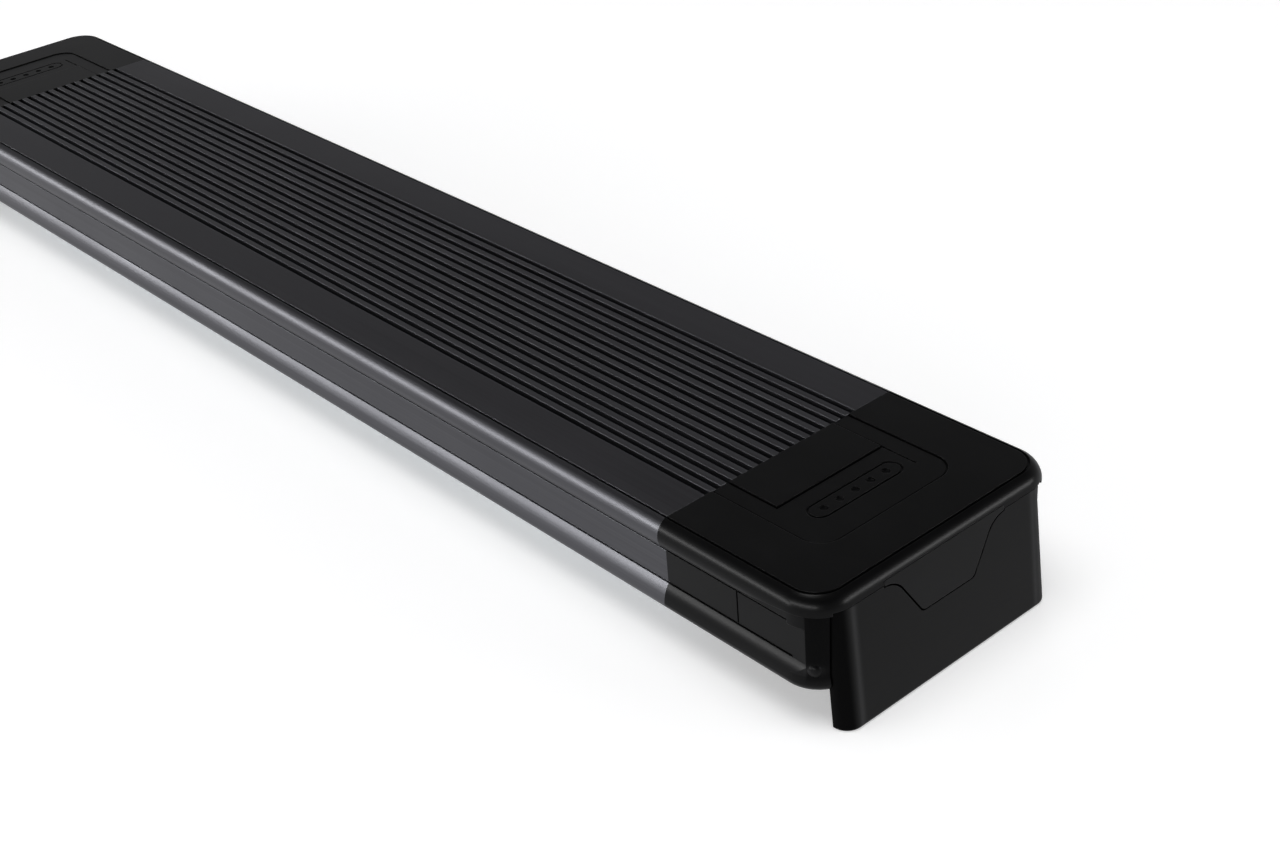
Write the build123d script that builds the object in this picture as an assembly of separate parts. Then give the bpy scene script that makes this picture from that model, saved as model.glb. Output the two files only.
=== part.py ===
from build123d import *
from math import cos, sin
import os

# Slim LED light bar for an aquarium, lying along X with its light facing down.
# Origin: centre of the lamp in plan, at the level of the end plates' feet. Heights
# below are drawn from a level FOOT above that, and every solid is raised by FOOT as
# it is written out.
# "near" is the +X end, "far" is the -X end (the end that takes the power plug).
# Parts of both ends are built at +X, and those of the far end are then mirrored.

os.makedirs("parts", exist_ok=True)

# ---------------------------------------------------------------- shared dimensions
HOUSING_L = 290.0          # extruded housing
CAP_L = 39.0               # moulded end cap
X0 = HOUSING_L / 2         # joint between housing and near cap
X1 = X0 + CAP_L            # end of the near cap's brim
Z_TOP = 25.6               # top face
Z_BOT = 6.1                # underside of the housing
HALF_W = 31.2              # widest point, on the upper bead
RECESS_Y = 29.45           # side recess floor
RECESS_TOP = 19.3
LOW_Z = 11.65              # top of the lower bead
UNDERCUT = 0.55            # fine undercut at the top of the side recess
SLOT_IN, SLOT_OUT, SLOT_TOP = 23.4, 25.0, 14.5   # bracket arm slot
FLANGE_Y = 21.2            # inner wall of the arm flange chamber
FLANGE_Z = 14.0            # floor of the arm flange chamber
FOOT = 1.4                 # the feet reach this far below the drawing's zero level
PORT_Y, PORT_Z = 20.1, (11.2, 20.0)   # cap screw ports in the housing
WIRE_Y, WIRE_Z = 4.0, 16.5            # wires through the far cap's end wall
PLUG_Z = 17.7              # axis of the power plug
SIDES = (1, -1)            # +Y side, -Y side


# ---------------------------------------------------------------- helpers
def box(x0, x1, y0, y1, z0, z1):
    centre = Pos((x0 + x1) / 2, (y0 + y1) / 2, (z0 + z1) / 2)
    return centre * Box(abs(x1 - x0), abs(y1 - y0), abs(z1 - z0))


def rod_x(x0, x1, y, z, radius):
    return Pos((x0 + x1) / 2, y, z) * Rot(0, 90, 0) * Cylinder(radius, abs(x1 - x0))


def rod_z(x, y, z0, z1, radius):
    return Pos(x, y, (z0 + z1) / 2) * Cylinder(radius, abs(z1 - z0))


def polygon(*points):
    return make_face(Polyline(*points, close=True))


def rect(y0, y1, z0, z1):
    return polygon((y0, z0), (y1, z0), (y1, z1), (y0, z1))


def symmetric_face(start, steps):
    """Face drawn as its +Y half and mirrored; a step is [end] or, for an arc, [mid, end]."""
    edges = []
    for side in SIDES:
        here = (side * start[0], start[1])
        for step in steps:
            points = [here] + [(side * y, z) for y, z in step]
            edges.append(Line(*points) if len(points) == 2 else ThreePointArc(*points))
            here = points[-1]
    return make_face(edges)


def prism_x(face, x0, x1):
    return extrude(Plane.YZ.offset(x0) * face, amount=x1 - x0)


def both(shape):
    """The shape and its mirror image on the other side in Y."""
    return [shape, mirror(shape, about=Plane.XZ)]


def flip(shape):
    """Mirror a shape to the other end of the lamp."""
    return mirror(shape, about=Plane.YZ)


def add(body, *pieces):
    for piece in pieces:
        body = body + piece
    return body


def cut(body, *tools):
    for tool in tools:
        body = body - tool
    return body


def cross_screw(y, z, shank, head, round_r, cross_floor, cross):
    """Screw along X: shank is (x0, x1, radius), head is (joint x, face x, radius),
    cross is (length, width) of the recess, which is sunk to cross_floor."""
    joint_x, face_x, head_r = head
    screw = rod_x(shank[0], shank[1], y, z, shank[2])
    cap = rod_x(joint_x, face_x, y, z, head_r)
    cap = fillet([e for e in cap.edges() if abs(e.center().X - face_x) < 0.1], round_r)
    screw = screw + cap
    beyond = 2 * face_x - cross_floor
    for w, h in (cross, cross[::-1]):
        screw = screw - box(cross_floor, beyond, y - w / 2, y + w / 2, z - h / 2, z + h / 2)
    return screw


def save(node, shape):
    export_step(Pos(0, 0, FOOT) * shape, "parts/" + node + ".step")


def save_group(node, shapes):
    raised = [Pos(0, 0, FOOT) * shape for shape in shapes]
    export_step(Compound(children=raised), "parts/" + node + ".step")


# ---------------------------------------------------------------- outer profile
# (y, z) steps of the +Y half, from the top centre line down
LEDGE_Y, LEDGE_Z = 28.5, Z_TOP - 0.6
BEAD_Y = 29.05
LOW_CUT = 0.4              # fine undercut at the foot of the recess
OUTLINE = [
    [(LEDGE_Y, Z_TOP)],
    [(LEDGE_Y, LEDGE_Z)],
    [(BEAD_Y, LEDGE_Z)],
    [(BEAD_Y, Z_TOP - 0.05)],
    # upper bead
    [(HALF_W, 22.55), (RECESS_Y, RECESS_TOP)],
    # side recess, with fine undercuts where it meets the beads
    [(RECESS_Y - UNDERCUT, RECESS_TOP)],
    [(RECESS_Y - UNDERCUT, RECESS_TOP - UNDERCUT)],
    [(RECESS_Y, RECESS_TOP - UNDERCUT)],
    [(RECESS_Y, LOW_Z + 0.45)],
    [(RECESS_Y - LOW_CUT, LOW_Z + 0.45)],
    [(RECESS_Y - LOW_CUT, LOW_Z)],
    [(RECESS_Y, LOW_Z)],
    # lower bead
    [(30.5, 9.6), (30.8, 7.9)],
    [(30.25, 6.65), (28.95, Z_BOT)],
    [(0, Z_BOT)],
]


def outer_face():
    return symmetric_face((0, Z_TOP), OUTLINE)


# ---------------------------------------------------------------- housing
RIB_PITCH = 2.69           # heat-sink grooves
GROOVES = 15
GROOVE_W = 1.35
GROOVE_D = 1.3
MOUTH_Y = 17.3             # half-width of the light channel at the underside
LIP_Y = 12.8               # half-width of the light window
CHAN_Y = 15.2              # half-width of the LED cavity
CHAN_TOP = 22.4
LIP_H = 4.5                # height of the light window above the underside
SEAT_Z = 11.4              # lens seat
NIB_Y, NIB_Z = 14.5, (14.1, 14.9)     # small ribs above the lens
CHAMBERS = [               # y0, y1, z0, z1 of the long hollows on each side
    (SLOT_IN, SLOT_OUT, Z_BOT - 1, SLOT_TOP),
    (FLANGE_Y, SLOT_OUT, FLANGE_Z, 17.2),
    (16.9, 19.6, 13.8, 17.4),
    (26.7, 28.0, 7.8, 17.0),
    (24.4, 27.7, 18.9, 23.4),
]


def channel_face():
    """Light channel, lens seat and LED cavity."""
    flare = (MOUTH_Y - CHAN_Y) / LIP_H
    half = [
        (MOUTH_Y + flare, Z_BOT - 1), (CHAN_Y, Z_BOT + LIP_H), (LIP_Y, Z_BOT + LIP_H),
        (LIP_Y, SEAT_Z), (CHAN_Y, SEAT_Z), (CHAN_Y, NIB_Z[0]), (NIB_Y, NIB_Z[0]),
        (NIB_Y, NIB_Z[1]), (CHAN_Y, NIB_Z[1]), (CHAN_Y, CHAN_TOP),
    ]
    return polygon(*[(-y, z) for y, z in half], *reversed(half))


def make_housing():
    faces = []
    for i in range(GROOVES):
        y = (i - (GROOVES - 1) / 2) * RIB_PITCH
        faces.append(rect(y - GROOVE_W / 2, y + GROOVE_W / 2, Z_TOP - GROOVE_D, Z_TOP + 1))
    faces.append(channel_face())
    for side in SIDES:
        for y0, y1, z0, z1 in CHAMBERS:
            faces.append(rect(*sorted((side * y0, side * y1)), z0, z1))
        for z in PORT_Z:
            faces.append(Pos(side * PORT_Y, z) * Circle(1.3))
    body = prism_x(outer_face(), -X0, X0)
    return cut(body, *[prism_x(face, -X0 - 1, X0 + 1) for face in faces])


# ---------------------------------------------------------------- end plate outline
PLATE_T = 3.6
PLATE_TOP = 22.8
PLATE_LEAN = 5.0           # the end plate leans out towards its foot
PLATE_Y = (26.6, 26.9)     # the plate's half-width at its top and at its foot
PLATE_GAP = 0.25           # clearance between cap and plate


def lean(shape):
    # swing about the top edge so the foot stands further out than the top
    return Pos(X1, 0, PLATE_TOP) * Rot(0, -PLATE_LEAN, 0) * Pos(-X1, 0, -PLATE_TOP) * shape


def plate_face(gap, z_top, z_low):
    """Tapered outline of the end plate, wider at the foot."""
    taper = (PLATE_Y[1] - PLATE_Y[0]) / (PLATE_TOP + FOOT)
    top_y, low_y = [PLATE_Y[0] + (PLATE_TOP - z) * taper + gap for z in (z_top, z_low)]
    return polygon((-top_y, z_top), (top_y, z_top), (low_y, z_low), (-low_y, z_low))


def tongue_face(gap):
    """Flat bottom, sloping sides and rounded shoulders running out under the brim."""
    def at(y, z):
        return (y - gap, z + gap)

    top = 24.0
    return symmetric_face((0, 13.1 + gap), [
        [at(6.0, 13.1)],
        [at(6.85, 13.4), at(7.4, 14.05)],
        [at(11.0, 19.6)],
        [at(12.9, 21.6), at(15.6, 22.4)],
        [(15.6 - gap, top)],
        [(0, top)],
    ])


# ---------------------------------------------------------------- end caps
WALL = 2.4                 # cap top wall
SIDE_Y = 27.2              # inside of the cap's side wall
CORNER_R = 8.0             # cap corner in plan
CORNER_X, CORNER_Y = X1 - CORNER_R, HALF_W - CORNER_R   # the corner's centre
COLUMN_R = 7.35            # column under the brim at each corner
BRIM_Z = 22.3              # underside of the brim at the corner
BRIM_CUT = 0.4             # fine undercut below the brim
RECESS_END = X0 + 34.3     # upright step that ends the side recess
PARTING_X = X0 + 17.8      # upright parting line across the side recess
KNOB_R, KNOB_AT, KNOB_ANGLE = 1.5, 6.5, 0.68   # radius, distance and angle (radians)
CAP_FLOOR = Z_BOT + 2.0
SLOT_GAP = 0.1             # the cap's arm slots are this much wider
FLANGE_TOP = 15.7          # top of the cap's arm flange slot
SEAL_Y, SEAL_Z, SEAL_T = 16.8, (9.5, 23.4), 0.8   # seal pocket in the end wall
PAD_X, PAD_Y, PAD_Z = (X0 + 11, X0 + 23), 22.2, (8.6, 13.2)   # friction pad pocket
POST_TOP = 11.0            # the driver board rests here


def cap_shell():
    body = prism_x(outer_face(), X0, CORNER_X)
    # corner section, turned about the corner's centre, and the run across the end:
    # the side profile with its recess filled to a plain column under a thin brim
    section = Pos(-CORNER_Y, 0) * outer_face() & rect(0, 12, 0, 30)
    section = section - rect(COLUMN_R, 12, LOW_Z, BRIM_Z) + rect(0, COLUMN_R, Z_BOT + 2.4, BRIM_Z)
    section = section - rect(COLUMN_R - BRIM_CUT, 12, BRIM_Z - BRIM_CUT, BRIM_Z)
    section = section.faces()[0]
    side_plane = Plane(origin=(CORNER_X, CORNER_Y, 0), x_dir=(0, 1, 0), z_dir=(1, 0, 0))
    turn = Axis((CORNER_X, CORNER_Y, 0), (0, 0, -1))
    corner = revolve(side_plane * section, axis=turn, revolution_arc=90)
    end_plane = Plane(origin=(CORNER_X, -CORNER_Y, 0), x_dir=(1, 0, 0), z_dir=(0, -1, 0))
    end = extrude(end_plane * section, amount=-2 * CORNER_Y)
    return add(body, *both(corner), end)


def bead_climb(y, z_start, z_corner):
    """Cutter outside y, from the parting line to the corner, under the climbing bead."""
    start = X0 + 18.0
    face = polygon((start, z_start), (CORNER_X, z_corner), (CORNER_X, BRIM_Z), (start, 20.4))
    return extrude(Plane.XZ.offset(-33) * face, amount=33 - y)


def shape_cap_sides(body):
    # side recess and its undercut run on into the corner and stop at an upright step
    for z_low, deep in ((LOW_Z, 0), (RECESS_TOP - UNDERCUT, UNDERCUT)):
        recess = box(CORNER_X - 0.1, RECESS_END, RECESS_Y - deep, 33, z_low, RECESS_TOP)
        body = cut(body, *both(recess))
    # the lower bead runs straight on under it, and ends on the column in a round knob
    outside_bead = rect(29.0, 33, 9.0, LOW_Z) - outer_face()
    body = cut(body, *both(prism_x(outside_bead, CORNER_X - 0.02, RECESS_END)))
    knob_x = CORNER_X + KNOB_AT * sin(KNOB_ANGLE)
    knob_y = CORNER_Y + KNOB_AT * cos(KNOB_ANGLE)
    body = add(body, *both(Pos(knob_x, knob_y, 10.8) * Sphere(KNOB_R)))
    # thin upright parting line, and from it the upper bead's lower edge climbing
    # to the thin brim of the corner
    parting = box(PARTING_X, PARTING_X + 0.35, RECESS_Y - 0.3, 33, LOW_Z, 19.5)
    body = cut(body, *both(parting))
    column_y = CORNER_Y + COLUMN_R
    body = cut(body, *both(bead_climb(column_y, 18.9, 18.9)))
    return cut(body, *both(bead_climb(column_y - BRIM_CUT, 20.0, BRIM_Z - BRIM_CUT)))


def hollow_cap(body):
    # hollow behind the end wall, and the opening for the end plate
    plate_top = PLATE_TOP + 0.1
    body = body - box(X0 + 3.5, CORNER_X, -SIDE_Y, SIDE_Y, CAP_FLOOR, Z_TOP - WALL)
    body = body - prism_x(plate_face(PLATE_GAP, plate_top, CAP_FLOOR), CORNER_X - 0.5, X1 + 3)
    body = body - prism_x(plate_face(PLATE_GAP, plate_top, 0), X1 - 4.0, X1 + 6)
    # arm slots
    slot_out = SLOT_OUT + SLOT_GAP
    body = cut(body, *both(box(X0 - 1, X1 + 6, SLOT_IN - SLOT_GAP, slot_out, 0, SLOT_TOP)))
    return cut(body, *both(box(X0 - 1, X0 + 4, FLANGE_Y, slot_out, FLANGE_Z, FLANGE_TOP)))


def fit_cap_inside(body):
    # guide walls outside the arms and guide ribs above their flanges
    guide_y = SIDE_Y + 0.2
    wall = box(X0 + 3, CORNER_X - 4, SLOT_OUT + 0.15, guide_y, Z_BOT + 1, 13.0)
    body = add(body, *both(wall))
    for x in (X0 + 7, X0 + 21):
        body = add(body, *both(box(x, x + 2, 21.4, guide_y, FLANGE_TOP, Z_TOP - 1)))
    # friction pad holders
    holder = box(PAD_X[0] - 2, PAD_X[1] + 2, 20.9, 23.1, Z_BOT + 1, 14.0)
    body = add(body, *both(holder - box(*PAD_X, PAD_Y, 24, *PAD_Z)))
    # seal pocket and screw holes in the end wall
    body = body - box(X0 - 1, X0 + SEAL_T, -SEAL_Y, SEAL_Y, *SEAL_Z)
    for side in SIDES:
        for z in PORT_Z:
            body = body - rod_x(X0 - 1, X0 + 5, side * PORT_Y, z, 1.5)
    return body


def add_tongue(body):
    # tongue hanging from the brim, standing in the end plate's notch
    tongue = lean(prism_x(tongue_face(PLATE_GAP), X1 - PLATE_T, X1))
    return body + (tongue - box(X1 - 10, X1 + 10, -30, 30, 23.6, 30))


def cut_cap_relief(body):
    """Shallow panel with rounded outer corners and a fine line round it, a flush block
    at its inner end, and a plain rounded outline with five dimples."""
    line_w = 0.4
    panel_end, panel_y, panel_r = X0 + 27.0, 17.8, 5.0
    block_end, block_y = X0 + 12.0, 13.4
    line_y = block_y + line_w
    line_z = Z_TOP - 0.7
    slot_x, slot_l, slot_w, slot_line = X0 + 18.2, 23.0, 4.8, 0.5

    def rounded(inset, z):
        y = panel_y - inset
        plate = box(X0 - 1, panel_end - inset, -y, y, z, Z_TOP + 1)
        corners = [e for e in plate.edges().filter_by(Axis.Z) if e.center().X > X0 + 20]
        return fillet(corners, panel_r - inset)

    def slot(inset, z):
        outline = SlotOverall(slot_l - 2 * inset, slot_w - 2 * inset)
        return extrude(Pos(slot_x, 0, z) * Rot(0, 0, 90) * outline, amount=5)

    panel = rounded(0, Z_TOP - 0.25)
    line = rounded(0, Z_TOP - 0.6) - rounded(line_w, Z_TOP - 2)
    block = box(X0 - 2, block_end, -block_y, block_y, Z_TOP - 1, Z_TOP + 2)
    block_line = box(X0 - 1, block_end + line_w, -line_y, line_y, line_z, Z_TOP + 1)
    body = cut(body, panel - block, line, block_line - block)
    # short fine line running on from the block's +Y side
    body = body - box(block_end, X0 + 20.4, block_y, line_y, line_z, Z_TOP)
    body = body - (slot(0, Z_TOP - 0.65) - slot(slot_line, Z_TOP - 1))
    for i in range(5):
        body = body - rod_z(slot_x, (i - 2) * 4.0, Z_TOP - 0.6, Z_TOP, 0.85)
    return body


def add_power_entry(body):
    # way in for the power plug, wire holes and board posts
    body = body - rod_x(X1 - 5, X1 + 5, 0, PLUG_Z, 3.3)
    for side in SIDES:
        body = body - rod_x(X0 - 1, X0 + 5, side * WIRE_Y, WIRE_Z, 1.6)
    for x in (X0 + 9, X0 + 28):
        for side in SIDES:
            body = body + rod_z(x, side * 11.0, Z_BOT + 1, POST_TOP, 1.7)
    return body


def make_cap(far):
    body = shape_cap_sides(cap_shell())
    body = fit_cap_inside(hollow_cap(body))
    body = cut_cap_relief(add_tongue(body))
    return add_power_entry(body) if far else body


def make_seal(far):
    gap = 0.1
    y = SEAL_Y - gap
    seal = box(X0 + 0.05, X0 + SEAL_T, -y, y, SEAL_Z[0] + gap, SEAL_Z[1] - gap)
    if far:
        for side in SIDES:
            seal = seal - rod_x(X0 - 1, X0 + 2, side * WIRE_Y, WIRE_Z, 1.4)
    return seal


def make_cap_screws():
    return [
        cross_screw(
            side * PORT_Y, z, shank=(X0 - 11, X0 + 3.6, 1.25), head=(X0 + 3.5, X0 + 5.4, 2.5),
            round_r=0.7, cross_floor=X0 + 4.4, cross=(3.0, 0.7),
        )
        for side in SIDES for z in PORT_Z
    ]


# ---------------------------------------------------------------- brackets
TRAVEL = 90.0              # bracket travel at each end
ARM_T = 1.2                # folded steel arm
ARM_Y = 23.6               # inner face of the arm's web
ARM_TOP = 15.4
ARM_END = X0 - TRAVEL - 2.2           # the arm's end inside the housing
BOSS_Y = (12.6, 21.6)
BOSS_LOW = 9.0             # underside of the bosses and of the arm's tab
TAB_X = X1 - 3.1           # outer face of the arm's tab
TAB_IN = TAB_X - ARM_T     # inner face of the arm's tab
ARM_SCREW_Y, ARM_SCREW_Z = (14.9, 19.4), 11.9


def make_end_plate():
    plate = prism_x(plate_face(0, PLATE_TOP, -FOOT - 0.3), X1 - PLATE_T, X1)
    plate = fillet(
        [e for e in plate.edges() if e.center().X > X1 - 0.1 and abs(e.center().Y) > 20], 3.3
    )
    foot_edges = plate.faces().sort_by(Axis.Z)[0].edges()
    plate = fillet([e for e in foot_edges if e.center().X > X1 - PLATE_T + 0.1], 0.8)
    plate = lean(plate - prism_x(tongue_face(0.0), X1 - 6, X1 + 4))
    plate = plate + add(*both(box(TAB_X, X1 - 0.9, *BOSS_Y, BOSS_LOW, 14.8)))
    # level the feet
    plate = plate & box(X1 - 20, X1 + 20, -40, 40, -FOOT, 40)
    for y in ARM_SCREW_Y:
        for side in SIDES:
            plate = plate - rod_x(TAB_X - 1, X1 - 0.9, side * y, ARM_SCREW_Z, 1.15)
    return plate


def make_arm():
    web_out = ARM_Y + ARM_T
    web = box(ARM_END, TAB_X, ARM_Y, web_out, 7.0, ARM_TOP)
    web_edges = web.edges().filter_by(Axis.Y)
    web = fillet([e for e in web_edges if e.center().Z < 8 and e.center().X < X0], 1.5)
    flange = box(ARM_END, X1 - 10, 21.4, web_out, ARM_TOP - ARM_T, ARM_TOP)
    tab = box(TAB_IN, TAB_X, BOSS_Y[0], web_out, BOSS_LOW, 15.0)
    stop = box(ARM_END, ARM_END + 2.0, 21.4, 23.4, 15.0, 16.9)
    arm = add(web, flange, tab, stop)
    for y in ARM_SCREW_Y:
        arm = arm - rod_x(TAB_X - 3, TAB_X + 1, y, ARM_SCREW_Z, 1.35)
    # locating dimple holes along the arm
    for i in range(5):
        arm = arm - (Pos(X0 - 60 + i * 20, 24.2, 10.6) * Rot(90, 0, 0) * Cylinder(1.2, 4))
    return arm


def make_arm_screws():
    return [
        cross_screw(
            side * y, ARM_SCREW_Z, shank=(TAB_X - 1.3, X1 - 1.2, 1.1),
            head=(TAB_IN, TAB_IN - 1.5, 2.1), round_r=0.6, cross_floor=TAB_IN - 0.8,
            cross=(2.4, 0.6),
        )
        for side in SIDES for y in ARM_SCREW_Y
    ]


def make_rim_pad():
    pad = box(X1 - PLATE_T - 1.0, X1 - PLATE_T, -19, 19, 1.2, 5.4)
    return lean(fillet(pad.edges().filter_by(Axis.X), 0.8))


def make_friction_pads():
    gap = 0.05
    x0, x1 = PAD_X[0] + gap, PAD_X[1] - gap
    return both(box(x0, x1, PAD_Y, ARM_Y - gap, PAD_Z[0] + gap, PAD_Z[1] - gap))


# ---------------------------------------------------------------- LED board
LED_PITCH = 13.9
LED_COUNT = 20
LED_LOW = 19.3             # light-giving face of the packages
LED_HALF = 2.5             # half the side of a package
WELL_R, WELL_D = 2.0, 0.55            # round well in a package
WINDOW_T = 0.3             # depth of the window in a three-colour package
BOARD_TOP, BOARD_LOW = 22.1, 20.9     # board's two faces
BOARD_X, BOARD_Y = 142.5, 12          # board's half-length and half-width
DIE = 0.45                 # half the side of a die
DIES = (("blue", 0.1, -0.95), ("red", 0.75, 0.65), ("green", -0.85, 0.5))   # dx, dy

LED_X = [(i - (LED_COUNT - 1) / 2) * LED_PITCH for i in range(LED_COUNT)]
# every fourth package is a three-colour one, counted from the near end
RGB = [x for i, x in enumerate(reversed(LED_X)) if i % 4 == 1]
WHITE = [x for i, x in enumerate(reversed(LED_X)) if i % 4 != 1]


def make_led_package(x):
    package = box(x - LED_HALF, x + LED_HALF, -LED_HALF, LED_HALF, LED_LOW, BOARD_LOW)
    package = chamfer(list(package.edges().filter_by(Axis.Z)), 0.35)
    return package - rod_z(x, 0, LED_LOW - 1, LED_LOW + WELL_D, WELL_R)


def make_well_fill(x, depth):
    return rod_z(x, 0, LED_LOW - 0.05, LED_LOW + depth, WELL_R)


def make_die(x, y):
    return box(x - DIE, x + DIE, y - DIE, y + DIE, LED_LOW + WINDOW_T, LED_LOW + WELL_D)


def make_led_board():
    board = box(-BOARD_X, BOARD_X, -BOARD_Y, BOARD_Y, BOARD_LOW, BOARD_TOP)
    for i in range(9):
        for side in SIDES:
            board = board - rod_z(-128.0 + 32 * i, side * 9.6, 20, 23, 1.0)
    return board


def make_resistors():
    middles = [x + LED_PITCH / 2 for x in LED_X[:-1]]
    return [
        box(x - 1.6, x + 1.6, y - 0.8, y + 0.8, BOARD_LOW - 0.6, BOARD_LOW)
        for x in middles for y in (-5.4, 5.4)
    ]


# ---------------------------------------------------------------- lens
LENS_X = X0 - 0.1
LENS_Z = (12.0, 14.0)

# ---------------------------------------------------------------- far end electrics
DRIVER_TOP = 12.6
CAN_TOP = 20.0
CANS = [(X0 + 12, -9.2, 3.1), (X0 + 20.5, -9.6, 2.6)]   # capacitors: x, y, radius
CHIPS = [                  # x0, x1, y0, y1, top
    (X0 + 18, X0 + 22.5, -1.9, 1.9, 14.1),
    (X0 + 19.5, X0 + 23.0, 5.5, 10.5, 13.8),
    (X0 + 25, X0 + 28, 8.0, 11.5, 13.7),
]
PIN_R = 1.0
PIN_X = X0 + 24.5          # inner end of the socket's pin
CONTACT_X = X0 + 27.2      # inner end of the socket's contact strip
CONTACT_TOP = 14.74


def make_coil():
    x, y = X0 + 13, 8.0
    return rod_z(x, y, DRIVER_TOP, 17.4, 4.2) - rod_z(x, y, 16.6, 18, 2.6)


def make_capacitor(x, y, radius):
    can = rod_z(x, y, DRIVER_TOP, CAN_TOP, radius)
    return fillet([e for e in can.edges() if e.center().Z > CAN_TOP - 0.5], 0.4)


def make_socket():
    socket = box(X0 + 23.6, X1 - 3.8, -4.6, 4.6, DRIVER_TOP, 22.7)
    socket = socket - rod_x(X1 - 12.4, X1, 0, PLUG_Z, 2.95)
    socket = socket - rod_x(PIN_X, X1, 0, PLUG_Z, PIN_R)
    return socket - box(X0 + 27.0, X1 - 5.0, -0.9, 0.9, 12.0, 15.4)


def make_pin():
    tip = X1 - 4.2
    pin = rod_x(PIN_X, tip, 0, PLUG_Z, PIN_R)
    return fillet([e for e in pin.edges() if e.center().X > tip - 0.1], 0.5)


def make_contact():
    strip = box(CONTACT_X, X1 - 5.2, -0.8, 0.8, 14.5, CONTACT_TOP)
    return strip + box(CONTACT_X, CONTACT_X + 0.3, -0.8, 0.8, 12.65, CONTACT_TOP)


def make_wire(y):
    # up from the driver board, through the end wall and up to the LED board
    path = Spline(
        (X0 + 8.6, y, DRIVER_TOP), (X0 + 7.6, y, 15.2), (X0 + 4.2, y, WIRE_Z),
        (X0 - 0.5, y, WIRE_Z), (X0 - 3.6, y, 18.0), (X0 - 5.4, y, BOARD_LOW),
        tangents=[(0, 0, 1), (0, 0, 1)],
    )
    start = Plane(origin=path @ 0, z_dir=path % 0)
    return sweep(start * Circle(0.7), path=path)


# ---------------------------------------------------------------- write out
save("housing_extrusion", make_housing())

for end in ("near", "far"):
    far = end == "far"
    singles = {
        "end_cap": make_cap(far),
        "cap_seal": make_seal(far),
        "end_plate": make_end_plate(),
        "rim_pad": make_rim_pad(),
    }
    groups = {
        "cap_screws": make_cap_screws(),
        "slide_arms": both(make_arm()),
        "arm_screws": make_arm_screws(),
        "friction_pads": make_friction_pads(),
    }
    for name, shape in singles.items():
        save(f"{end}_{name}", flip(shape) if far else shape)
    for name, shapes in groups.items():
        save_group(f"{end}_{name}", [flip(s) for s in shapes] if far else shapes)

save("led_board", make_led_board())
save("thermal_pad", box(-BOARD_X, BOARD_X, -BOARD_Y, BOARD_Y, BOARD_TOP, CHAN_TOP))
save_group("white_led_packages", [make_led_package(x) for x in WHITE])
save_group("white_led_phosphors", [make_well_fill(x, WELL_D) for x in WHITE])
save_group("rgb_led_packages", [make_led_package(x) for x in RGB])
save_group("rgb_led_windows", [make_well_fill(x, WINDOW_T) for x in RGB])
for colour, dx, dy in DIES:
    save_group(colour + "_led_dies", [make_die(x + dx, dy) for x in RGB])
save_group("board_resistors", make_resistors())
save("cover_lens", box(-LENS_X, LENS_X, -14.9, 14.9, *LENS_Z))
save_group("lens_seals", both(box(-LENS_X, LENS_X, 13.0, 15.1, SEAT_Z, LENS_Z[0])))

save("driver_board", flip(box(X0 + 6, X0 + 31, -14, 14, POST_TOP, DRIVER_TOP)))
save("driver_coil", flip(make_coil()))
save_group("driver_capacitors", [flip(make_capacitor(*can)) for can in CANS])
save_group("driver_chips", [flip(box(*chip[:4], DRIVER_TOP, chip[4])) for chip in CHIPS])
save("power_socket_body", flip(make_socket()))
save("power_socket_pin", flip(make_pin()))
save("power_socket_contact", flip(make_contact()))
save("positive_wire", flip(make_wire(WIRE_Y)))
save("negative_wire", flip(make_wire(-WIRE_Y)))
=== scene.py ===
# LED bar lamp: materials, studio and camera for its CAD pieces.
# The bar lies along X with Y across it and Z up, its ribs on top and its middle at x = 0.
# Lengths are in metres; a material's own lengths are in millimetres times MM.
import bpy, bmesh, math
from mathutils import Vector, Matrix


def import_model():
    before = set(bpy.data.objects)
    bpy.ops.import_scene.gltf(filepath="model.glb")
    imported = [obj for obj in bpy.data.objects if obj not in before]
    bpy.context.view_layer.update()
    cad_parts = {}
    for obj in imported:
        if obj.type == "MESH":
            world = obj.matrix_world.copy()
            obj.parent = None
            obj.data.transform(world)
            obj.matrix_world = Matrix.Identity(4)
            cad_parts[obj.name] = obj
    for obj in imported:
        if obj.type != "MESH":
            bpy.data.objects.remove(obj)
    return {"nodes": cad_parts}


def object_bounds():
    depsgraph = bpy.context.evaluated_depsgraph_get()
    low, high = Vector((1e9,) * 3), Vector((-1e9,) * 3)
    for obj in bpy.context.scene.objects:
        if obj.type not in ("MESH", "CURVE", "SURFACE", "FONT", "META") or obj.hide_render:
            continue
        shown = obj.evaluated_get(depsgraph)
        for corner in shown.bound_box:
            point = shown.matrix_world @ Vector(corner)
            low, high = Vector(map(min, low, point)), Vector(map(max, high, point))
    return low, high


MM = 0.001
LED_PITCH = 13.9        # mm between diodes along X
CELL_SHIFT = 10.0       # keeps the diode cell numbers positive
RGB_EVERY, RGB_CELL = 4.0, 2.0      # every fourth diode has three colours, from cell 2

FLOOR_RADIUS = 9.0
FLOOR_GAP = 0.0002      # floor below the lamp's lowest point

LIGHT_TARGET = Vector((0.05, 0, 0.02))

VIEW_ANCHOR_X = 0.145                           # the camera is placed from here, at the lamp's top
CAMERA_OFFSET = (0.21431, -0.20694, 0.18726)
CAMERA_RIGHT = (0.6623, 0.7457, -0.0729)
CAMERA_BACK = (0.6644, -0.5395, 0.5172)
SENSOR_MM, LENS_MM = 36.0, 53.8959375

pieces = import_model()["nodes"]
cad_low, cad_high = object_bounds()


# ------------------------------------------------------------------ node tools
def operation(kind, swapped=False):
    if swapped:
        return lambda value, other: value.graph.math(kind, other, value)
    return lambda value, other=None: value.graph.math(kind, value, other)


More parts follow.
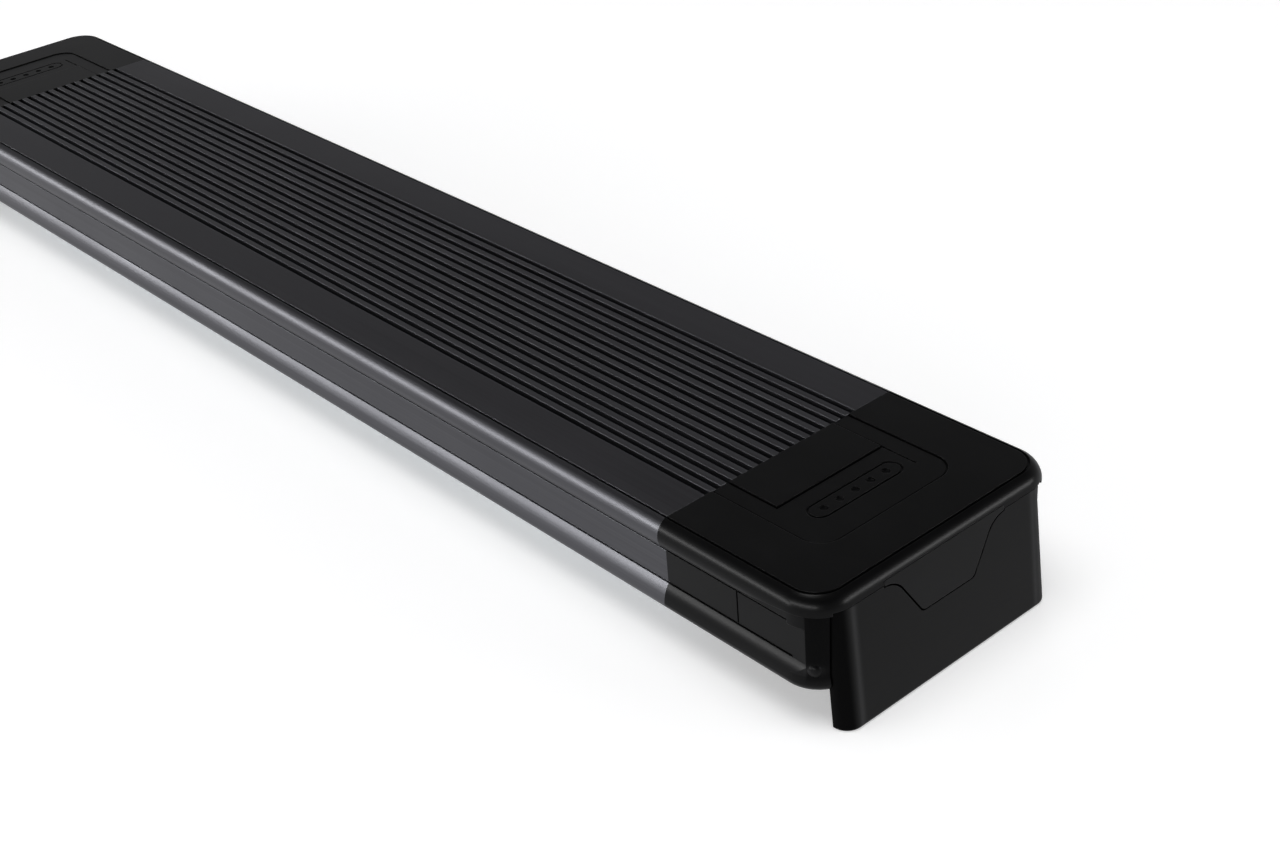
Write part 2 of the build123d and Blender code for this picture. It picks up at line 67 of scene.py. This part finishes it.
class Value:
    """An output socket; arithmetic on it adds Math nodes."""

    def __init__(self, graph, socket):
        self.graph, self.socket = graph, socket

    __add__, __radd__ = operation("ADD"), operation("ADD", swapped=True)
    __sub__, __rsub__ = operation("SUBTRACT"), operation("SUBTRACT", swapped=True)
    __mul__ = operation("MULTIPLY")
    __truediv__ = operation("DIVIDE")
    __pow__ = operation("POWER")
    __abs__ = operation("ABSOLUTE")


class Graph:
    """The node tree of a material or world, with short ways to add nodes."""

    def __init__(self, owner, output="OutputMaterial"):
        self.owner = owner
        owner.use_nodes = True
        self.tree = owner.node_tree
        self.tree.nodes.clear()
        self.output = self.node(output)
        self.coords = self.node("TexCoord")

    def put(self, socket, value):
        if isinstance(value, Value):
            self.tree.links.new(value.socket, socket)
        elif value is not None:
            if socket.type == "RGBA" and len(value) == 3:
                value = (*value, 1)
            socket.default_value = value

    def node(self, kind, inputs=None, **settings):
        node = self.tree.nodes.new("ShaderNode" + kind)
        for key, setting in settings.items():
            setattr(node, key, setting)
        for key, value in (inputs or {}).items():
            self.put(node.inputs[key], value)
        return node

    def value(self, kind, inputs=None, output=0, **settings):
        return Value(self, self.node(kind, inputs, **settings).outputs[output])

    def finish(self, shader):
        self.put(self.output.inputs[0], shader)
        return self.owner

    def math(self, kind, *values, clamp=False):
        return self.value("Math", dict(enumerate(values)), operation=kind, use_clamp=clamp)

    def ramp(self, value, start, end, low=0.0, high=1.0, kind="SMOOTHSTEP"):
        inputs = {0: value, 1: start, 2: end, 3: low, 4: high}
        return self.value("MapRange", inputs, interpolation_type=kind)

    def ramp_mm(self, value, start, end):
        return self.ramp(value, start * MM, end * MM)

    def hump(self, value, width):
        """1 at zero, falling off both ways as a bell curve."""
        q = value / width
        return self.math("EXPONENT", q * q * -1.0)

    def hump_mm(self, value, centre, width):
        return self.hump(value - centre * MM, width * MM)

    def fade(self, value, length):
        return self.math("EXPONENT", value * (-1.0 / length))

    def xyz(self):
        node = self.node("SeparateXYZ", {0: Value(self, self.coords.outputs["Object"])})
        return [Value(self, socket) for socket in node.outputs]

    def noise(self, density, detail=3.0, roughness=0.5, low=0.3, high=0.7):
        """Noise stretched so low..high fills 0..1; density is in cells per metre."""
        if not isinstance(density, tuple):
            density = (density,) * 3
        place = {"Vector": Value(self, self.coords.outputs["Object"]), "Scale": density}
        noise = self.value("TexNoise", {"Vector": self.value("Mapping", place), "Scale": 1.0,
                                        "Detail": detail, "Roughness": roughness}, "Fac")
        return self.ramp(noise, low, high, kind="LINEAR")

    def mix(self, factor, base, over):
        return self.value("Mix", {0: factor, 6: base, 7: over}, 2, data_type="RGBA")

    def add_light(self, colour, light, amount):
        scaled = self.value("VectorMath", {0: light, "Scale": amount}, operation="SCALE")
        return self.value("Mix", {0: 1.0, 6: colour, 7: scaled}, 2,
                          data_type="RGBA", blend_type="ADD")

    def mix_shader(self, factor, first, second):
        return self.value("MixShader", {0: factor, 1: first, 2: second})

    def bevel(self, radius):
        return self.value("Bevel", {"Radius": radius}, samples=4)

    def edges(self, radius):
        """1 on outer and inner edges, 0 on flats."""
        normals = {0: self.bevel(radius), 1: self.value("NewGeometry", output="Normal")}
        facing = self.value("VectorMath", normals, "Value", operation="DOT_PRODUCT")
        return self.ramp(facing, start=1.0, end=0.86)

    def bump(self, height, strength, distance, radius=None):
        return self.value("Bump", {"Strength": strength, "Distance": distance, "Height": height,
                                   "Normal": self.bevel(radius) if radius else None})

    def surface(self, **values):
        names = {
            "colour": "Base Color", "metallic": "Metallic", "roughness": "Roughness",
            "normal": "Normal", "specular": "Specular IOR Level", "alpha": "Alpha",
            "emission": "Emission Color", "power": "Emission Strength",
        }
        inputs = {names[key]: value for key, value in values.items()}
        return self.finish(self.value("BsdfPrincipled", inputs))


def new_material(name):
    return Graph(bpy.data.materials.new(name))


def paint(material, *names):
    for name in names:
        piece = pieces[name]
        for slot in piece.material_slots:
            slot.link = "OBJECT"
            slot.material = material
        if not piece.material_slots:
            piece.data.materials.append(material)


def both(*parts):
    """Names of pieces that come at both ends."""
    return [f"{end}_{part}" for part in parts for end in ("near", "far")]


def scaled(colour, factor, lift=0.0):
    return tuple(min(1, c * factor + lift) for c in colour)


# ------------------------------------------------------------------ materials
def black_anodised():
    mat = new_material("black_anodised")
    streak = mat.noise((9, 2600, 2600), detail=4, roughness=0.6)
    broad = mat.noise((2.2, 160, 160), detail=2)
    cloud = mat.noise(26, roughness=0.55)
    grain = mat.noise(7000, detail=2, roughness=0.6, low=0.25, high=0.75)
    colour = mat.mix(streak, base=(0.108, 0.107, 0.116), over=(0.160, 0.160, 0.172))
    colour = mat.mix(broad * 0.45, colour, over=(0.180, 0.184, 0.198))
    colour = mat.mix(cloud * 0.25, colour, over=(0.088, 0.088, 0.098))
    # the shoulders either side of the ribs are darker
    x, y, z = mat.xyz()
    top = mat.ramp_mm(z, start=26.2, end=26.9)
    shoulder = top * mat.ramp_mm(abs(y), start=19.6, end=20.0)
    colour = mat.mix(shoulder * 0.55, colour, over=(0.104, 0.101, 0.111))
    # the oxide thins on corners, so they read lighter
    patches = mat.noise((60, 500, 500), roughness=0.6)
    worn = mat.edges(radius=0.00035) * mat.ramp(patches, start=0.1, end=0.9, low=0.25)
    colour = mat.mix(worn * 0.35, colour, over=(0.28, 0.285, 0.30))
    return mat.surface(
        colour=colour, metallic=1.0, specular=0.5,
        roughness=0.27 + streak * 0.08 + cloud * 0.06 + grain * 0.05,
        normal=mat.bump(streak * 0.6 + grain * 0.4, strength=0.22, distance=0.000012,
                        radius=0.00018))


def cap_shade(mat, colour):
    """Painted shade: the corner columns are painted near black, darker than the gloss faces, with
    weaker reflection; the bead's end knob gets a painted glint.
    """
    x, y, z = mat.xyz()
    end, side = abs(x), abs(y)
    height = mat.ramp_mm(z, start=23.9, end=23.5) * mat.ramp_mm(z, start=9.0, end=11.4)
    knob = (mat.hump_mm(end, centre=180.1, width=1.5)
            * mat.hump_mm(side, centre=28.25, width=2.2)
            * mat.hump_mm(z, centre=12.3, width=1.0))
    column = (mat.ramp_mm(end, start=179.2, end=179.5)
              * mat.ramp_mm(side, start=24.0, end=25.0) * height * (1.0 - knob))
    # painted glint on the knob at the bead's end
    colour = mat.mix(knob * 0.7, colour, over=(0.045, 0.045, 0.046))
    # painted shade on the corner columns
    return mat.mix(column, colour, over=(0.0016, 0.0016, 0.0017)), column


def bracket_shade(mat, colour):
    """Painted highlight along the upright edges, and painted shade with weaker reflection on the
    outer sides.
    """
    x, y, z = mat.xyz()
    end, side = abs(x), abs(y)
    upright = (mat.hump_mm(side, centre=23.1, width=0.7)
               * mat.ramp_mm(end, start=182.6, end=183.4))
    outer = mat.ramp_mm(side, start=24.0, end=25.2)
    # painted highlight band along the upright edges of the outer face
    colour = mat.mix(upright * 0.6, colour, over=(0.040, 0.040, 0.041))
    # painted shade on the outer sides
    return mat.mix(outer, colour, over=(0.0022, 0.0022, 0.0023)), outer


def moulded(name, dark, light, roughness, grain_mm, wear, bump, specular, shade):
    mat = new_material(name)
    radius = 0.0002
    grain = mat.noise(1 / (grain_mm * MM), detail=2, roughness=0.6, low=0.25, high=0.75)
    flow = mat.noise((55, 90, 90), detail=4, roughness=0.55)
    smear = mat.noise((240, 70, 240), detail=4, roughness=0.6, low=0.42, high=0.62)
    fine = mat.noise((420, 9000, 900), detail=2, low=0.58, high=0.70)
    colour = mat.mix(flow, dark, light)
    patches = mat.noise(900, roughness=0.6)
    rubbed = mat.edges(radius * 1.4) * mat.ramp(patches, start=0.2, end=0.9, low=0.15)
    colour = mat.mix(rubbed * wear, colour, over=scaled(light, 3.2, lift=0.012))
    # the shade function paints shade and highlights into the colour and returns where shade is
    # painted
    colour, painted_shade = shade(mat, colour)
    rough = roughness + flow * 0.06 + smear * 0.035 + grain * 0.04 + fine * -0.05
    least_rough, shade_reflection_loss = 0.28, -0.13        # gloss limit; specular lowered where shade is painted
    return mat.surface(
        colour=colour, metallic=0.0, roughness=mat.math("MAXIMUM", rough, least_rough),
        normal=mat.bump(grain * 0.7 + fine * 0.3, strength=bump, distance=0.000012,
                        radius=radius),
        specular=mat.math("MULTIPLY_ADD", painted_shade, shade_reflection_loss, specular))


def rubber():
    mat = new_material("seal_rubber")
    grain = mat.noise(5200, detail=4, roughness=0.6)
    dust = mat.noise(320, detail=4, roughness=0.6, low=0.45, high=0.75)
    return mat.surface(
        colour=mat.mix(dust * 0.5, base=(0.013, 0.013, 0.014), over=(0.045, 0.044, 0.042)),
        roughness=0.62 + grain * 0.15, specular=0.3,
        normal=mat.bump(grain, strength=0.35, distance=0.00003, radius=0.0002))


def steel(name, base, brushing, roughness):
    mat = new_material(name)
    brush = mat.noise(brushing, detail=2)
    blotch = mat.noise(90)
    colour = mat.mix(brush, scaled(base, 0.88), base)
    colour = mat.mix(mat.edges(radius=0.00025) * 0.3, colour, over=scaled(base, 1.4))
    return mat.surface(
        colour=colour, metallic=1.0, roughness=roughness + brush * 0.05 + blotch * 0.05,
        normal=mat.bump(brush, strength=0.03, distance=0.00001, radius=0.00015))


def board(name, mask, track, pitch):
    """Raised panels of solder mask, parted by track lines across and along the board."""
    mat = new_material(name)
    x, y, z = mat.xyz()
    grain = mat.noise(1800)
    cell = mat.math("FRACT", x / (pitch * MM))
    gap = mat.ramp(abs(cell - 0.5), start=0.46, end=0.47)
    rail_y = 8.2 * MM
    panel = (1.0 - gap) * mat.ramp_mm(abs(abs(y) - rail_y), start=0.35, end=0.45)
    colour = mat.mix(panel, track, mask)
    return mat.surface(
        colour=mat.mix(grain * 0.12, colour, over=scaled(mask, 0.7)),
        roughness=0.32 + grain * 0.12, specular=0.5,
        normal=mat.bump(panel, strength=0.5, distance=0.00003))


def plain(name, dark, light, roughness=0.4, density=900, metallic=0.0):
    mat = new_material(name)
    grain = mat.noise(density, detail=4, roughness=0.6)
    cloud = mat.noise(density * 0.12)
    colour = mat.mix(grain, dark, light)
    return mat.surface(
        colour=mat.mix(cloud * 0.25, colour, over=scaled(dark, 0.6)),
        roughness=roughness + grain * 0.12, metallic=metallic, specular=0.5,
        normal=mat.bump(grain, strength=0.15, distance=0.00002, radius=0.00015))


def led_cell(mat, x, y):
    """Cell number, then millimetres along, across and out from the cell's middle."""
    cell = x / (LED_PITCH * MM) + CELL_SHIFT
    along = (mat.math("FRACT", cell) - 0.5) * LED_PITCH
    across = y * (1 / MM)
    return cell, along, across, mat.math("SQRT", along * along + across * across)


def glow(name, inner, outer, power):
    """A lit face, hottest in the middle of its own cell."""
    mat = new_material(name)
    x, y, z = mat.xyz()
    cell, along, across, distance = led_cell(mat, x, y)
    hot = mat.ramp(distance, start=2.1, end=0.4)
    speck = mat.noise(9000, detail=2, roughness=0.6)
    return mat.surface(
        colour=mat.mix(speck, outer, inner), emission=mat.mix(hot, outer, inner),
        power=power * 0.6 + hot * (power * 0.4), roughness=0.35)


def window():
    """Clear cover over the diodes, with their light and glare painted on it as emission:
    white stars with a long cross flare, and three-colour haloes on every fourth diode."""
    mat = new_material("clear_acrylic")
    x, y, z = mat.xyz()
    cell, along, across, distance = led_cell(mat, x, y)
    place = mat.math("FLOORED_MODULO", mat.math("FLOOR", cell), RGB_EVERY)
    tolerance = 0.1
    is_rgb = mat.math("COMPARE", place, RGB_CELL, tolerance)
    is_white = 1.0 - is_rgb
    inside = mat.ramp_mm(abs(x), start=139.5, end=139.0)
    angle = mat.math("ARCTAN2", across, along)

    def halo(centre, size):
        a = (along - centre[0]) / size[0]
        b = (across - centre[1]) / size[1]
        return mat.math("EXPONENT", (a * a + b * b) * -1.0) * is_rgb

    def rays(count, sharpness, phase, length):
        wave = abs(mat.math("COSINE", angle * (count / 2.0) + phase))
        return wave ** sharpness * mat.fade(distance, length)

    wobble = mat.noise(520, detail=2)
    core = mat.ramp(distance, start=4.3, end=2.5)
    white_halo = mat.hump(distance, width=6.2)
    star = (rays(count=8, sharpness=26.0, phase=0.0, length=4.6) * 2.3
            + rays(count=12, sharpness=40.0, phase=0.35, length=3.6) * 1.6)
    flare = mat.hump(along, width=0.62) * mat.fade(abs(across), length=6.5)
    white = (core * 4.2 + white_halo * 0.55 + star + flare * 2.0) * is_white

    # three-colour diode: small painted white star in a dark oval of painted shade
    rgb_core = mat.ramp(distance, start=2.4, end=1.5)
    rgb_star = rays(count=10, sharpness=30.0, phase=0.2, length=2.1) * 1.6
    rgb_white = (rgb_core * 4.0 + rgb_star) * is_rgb
    oval = mat.math("SQRT", along * along * 1.75 + across * across)
    shade = mat.ramp(oval, start=12.6, end=9.5) * is_rgb

    # ground colour of the painted glow, brighter round the white diodes, greyer towards +Y
    side = mat.ramp(across, start=-13.0, end=13.0)
    ground = mat.mix(side, base=(0.105, 0.30, 0.41), over=(0.17, 0.30, 0.33))
    near_white = (white_halo + wobble * 0.15) * (is_white * 0.75)
    ground = mat.mix(near_white, ground, over=(0.47, 0.72, 0.76))
    light = mat.mix(shade * 0.85, ground, over=(0.035, 0.075, 0.095))
    # light colour, halo centre and size (mm along, across)
    for colour, centre, size in (
        ((0.0, 0.115, 0.60), (0.3, -6.2), (4.2, 4.6)),
        ((0.36, 0.01, 0.015), (2.6, 3.9), (2.3, 3.0)),
        ((0.0, 0.30, 0.11), (-3.8, 1.4), (3.1, 4.4)),
    ):
        light = mat.add_light(light, colour, halo(centre, size))
    light = mat.add_light(light, (1.0, 1.0, 1.0), white + rgb_white)
    scratch = mat.noise((30, 5200, 900), roughness=0.6, low=0.62, high=0.72)
    return mat.surface(
        colour=(0.10, 0.16, 0.18), roughness=0.08 + scratch * 0.15, specular=0.5,
        emission=light, power=inside * 0.95,
        alpha=mat.math("ADD", 0.30, inside * 0.62, clamp=True),
        normal=mat.bump(scratch, strength=0.08, distance=0.00001))


paint(black_anodised(), "housing_extrusion")
paint(moulded("cap_plastic", dark=(0.0020, 0.0020, 0.0021), light=(0.0036, 0.0036, 0.0038),
              roughness=0.205, grain_mm=0.16, wear=0.10, bump=0.07, specular=0.2,
              shade=cap_shade), *both("end_cap"))
paint(moulded("bracket_plastic", dark=(0.0024, 0.0024, 0.0025), light=(0.0036, 0.0036, 0.0037),
              roughness=0.295, grain_mm=0.22, wear=0.3, bump=0.12, specular=0.17,
              shade=bracket_shade), *both("end_plate"))
paint(rubber(), *both("cap_seal"), "lens_seals", *both("rim_pad", "friction_pads"))
paint(steel("screw_steel", base=(0.46, 0.46, 0.47), brushing=1500, roughness=0.28),
      *both("cap_screws", "arm_screws"))
paint(steel("arm_steel", base=(0.50, 0.50, 0.51), brushing=(14, 1100, 1100), roughness=0.34),
      *both("slide_arms"))
paint(board("white_board", mask=(0.72, 0.75, 0.76), track=(0.60, 0.66, 0.68),
            pitch=LED_PITCH), "led_board")
paint(plain("pad_grey", (0.20, 0.21, 0.22), (0.30, 0.31, 0.33), roughness=0.7), "thermal_pad")
paint(plain("led_body", (0.78, 0.78, 0.74), (0.86, 0.86, 0.83)),
      "white_led_packages", "rgb_led_packages")
paint(glow("phosphor", inner=(1.0, 1.0, 0.97), outer=(1.0, 0.86, 0.45), power=6.0),
      "white_led_phosphors")
paint(plain("led_window", (0.55, 0.60, 0.64), (0.75, 0.80, 0.85), roughness=0.1),
      "rgb_led_windows")
for hue, inner, outer, power in (
    ("blue", (0.25, 0.45, 1.0), (0.0, 0.12, 1.0), 5.0),
    ("red", (1.0, 0.35, 0.30), (1.0, 0.02, 0.03), 4.0),
    ("green", (0.45, 1.0, 0.55), (0.0, 0.9, 0.15), 4.0),
):
    paint(glow(f"die_{hue}", inner, outer, power), f"{hue}_led_dies")
paint(plain("resistor_black", (0.012, 0.012, 0.012), (0.03, 0.03, 0.03), roughness=0.5,
            density=2500), "board_resistors", "driver_chips")
paint(window(), "cover_lens")
paint(board("green_board", mask=(0.012, 0.115, 0.045), track=(0.03, 0.20, 0.08), pitch=3.4),
      "driver_board")
# material, dark and light colours, roughness, grain density, metallic, pieces
for name, dark, light, roughness, density, metallic, *parts in (
    ("ferrite", (0.03, 0.03, 0.033), (0.06, 0.06, 0.064), 0.6, 3000, 0.0, "driver_coil"),
    ("capacitor_sleeve", (0.012, 0.012, 0.030), (0.020, 0.020, 0.045), 0.22, 600, 0.0,
     "driver_capacitors"),
    ("socket_plastic", (0.010, 0.010, 0.010), (0.018, 0.018, 0.018), 0.38, 2500, 0.0,
     "power_socket_body"),
    ("contact_brass", (0.62, 0.43, 0.17), (0.80, 0.60, 0.28), 0.22, 1500, 1.0,
     "power_socket_pin", "power_socket_contact"),
    ("wire_red", (0.50, 0.02, 0.015), (0.62, 0.04, 0.03), 0.35, 1500, 0.0, "positive_wire"),
    ("wire_black", (0.010, 0.010, 0.010), (0.020, 0.020, 0.020), 0.35, 1500, 0.0,
     "negative_wire"),
):
    paint(plain(name, dark, light, roughness, density, metallic), *parts)


# ------------------------------------------------------------------ studio
def floor_paper():
    mat = new_material("floor_paper")
    colour = mat.mix(mat.noise(3, detail=2), base=(0.80, 0.80, 0.80), over=(0.82, 0.82, 0.825))
    ray = mat.node("LightPath").outputs
    # fades to white with distance, like a paper sweep
    x, y, z = mat.xyz()
    away = mat.ramp(mat.math("SQRT", x * x + y * y), start=0.9, end=2.6, low=0.36)
    white = mat.value("Emission", {"Color": (1, 1, 1),
                                   "Strength": Value(mat, ray["Is Camera Ray"]) * away})
    paper = mat.value("AddShader", {0: mat.value("BsdfDiffuse", {"Color": colour}), 1: white})
    # shiny surfaces see it grey
    grey = mat.value("Emission", {"Color": (0.50, 0.50, 0.51), "Strength": 1.0})
    paper = mat.mix_shader(Value(mat, ray["Is Glossy Ray"]), paper, grey)
    # clear from below, so the lamp's underside can be looked at through it
    below = mat.value("NewGeometry", output="Backfacing")
    return mat.finish(mat.mix_shader(below, paper, mat.value("BsdfTransparent")))


def floor():
    mesh = bpy.data.meshes.new("studio_floor")
    bm = bmesh.new()
    bmesh.ops.create_circle(bm, cap_ends=True, segments=96, radius=FLOOR_RADIUS)
    bm.to_mesh(mesh)
    bm.free()
    disc = bpy.data.objects.new("studio_floor", mesh)
    bpy.context.scene.collection.objects.link(disc)
    disc.location.z = cad_low.z - FLOOR_GAP
    mesh.materials.append(floor_paper())


def world():
    studio = bpy.data.worlds.new("studio")
    bpy.context.scene.world = studio
    sky = Graph(studio, "OutputWorld")
    ray = sky.node("LightPath").outputs
    ambient = sky.value("Background", {"Color": (0.42, 0.42, 0.43), "Strength": 0.45})
    backdrop = sky.value("Background", {"Color": (1, 1, 1), "Strength": 1.0})
    # what shiny surfaces see: bright near the horizon, dark overhead
    split = sky.value("SeparateXYZ", {0: Value(sky, sky.coords.outputs["Generated"])}, 2)
    gradient = sky.node("ValToRGB", {0: split})
    stops = gradient.color_ramp.elements
    stops[0].color = (0.34, 0.34, 0.345, 1)
    stops[1].color = (0.01, 0.01, 0.01, 1)
    # height, grey level
    for height, grey in ((0.18, 0.26), (0.36, 0.18), (0.50, 0.145),
                         (0.57, 0.12), (0.66, 0.03), (0.76, 0.01)):
        stops.new(height).color = (grey, grey, grey * 1.02, 1)
    mirrored = sky.value("Background", {"Color": Value(sky, gradient.outputs[0])})
    shader = sky.mix_shader(Value(sky, ray["Is Glossy Ray"]), ambient, mirrored)
    sky.finish(sky.mix_shader(Value(sky, ray["Is Camera Ray"]), shader, backdrop))


def softbox(name, place, width, height, power, hidden):
    lamp = bpy.data.lights.new(name, "AREA")
    lamp.shape, lamp.size, lamp.size_y, lamp.energy = "RECTANGLE", width, height, power
    box = bpy.data.objects.new(name, lamp)
    bpy.context.scene.collection.objects.link(box)
    box.location = place
    box.rotation_mode = "QUATERNION"
    box.rotation_quaternion = (LIGHT_TARGET - place).to_track_quat("-Z", "Y")
    if hidden:
        setattr(box, hidden, False)


def camera():
    cam = bpy.data.objects.new("camera", bpy.data.cameras.new("camera"))
    bpy.context.scene.collection.objects.link(cam)
    right = Vector(CAMERA_RIGHT).normalized()
    back = Vector(CAMERA_BACK).normalized()
    up = back.cross(right).normalized()
    right = up.cross(back).normalized()
    turn = Matrix((right, up, back)).transposed().to_4x4()
    x, y, z = CAMERA_OFFSET
    place = Vector((x + VIEW_ANCHOR_X, y, z + cad_high.z))
    cam.matrix_world = Matrix.Translation(place) @ turn
    cam.data.sensor_width = SENSOR_MM
    cam.data.lens = LENS_MM
    cam.data.clip_start, cam.data.clip_end = 0.01, 50
    bpy.context.scene.camera = cam


floor()
world()
# name, offset from the target, offset scale, width, height, power, ray switch turned off
for name, offset, scale, *settings in (
    ("left_strip", (-0.664, -0.74, 0.20), 1.6, 1.5, 0.30, 8.5, None),
    ("right_strip", (0.80, 0.54, 0.26), 1.6, 0.9, 0.24, 4.5, None),
    ("corner_front", (0.20, -0.87, 0.44), 1.6, 1.9, 0.24, 9.0, "visible_diffuse"),
    ("corner_top", (-0.15, 0.02, 0.99), 1.6, 0.55, 0.55, 6.5, "visible_diffuse"),
    ("overhead", (0.1, -0.25, 1.5), 1.0, 1.4, 1.0, 14, "visible_glossy"),
    ("front_fill", (1.3, -1.3, 0.7), 1.0, 0.8, 0.5, 5, "visible_glossy"),
    ("rear_fill", (-1.3, 1.4, 0.8), 1.0, 0.9, 0.5, 4, "visible_glossy"),
):
    softbox(name, LIGHT_TARGET + Vector(offset) * scale, *settings)
camera()
bpy.context.scene.view_settings.view_transform = "Standard"
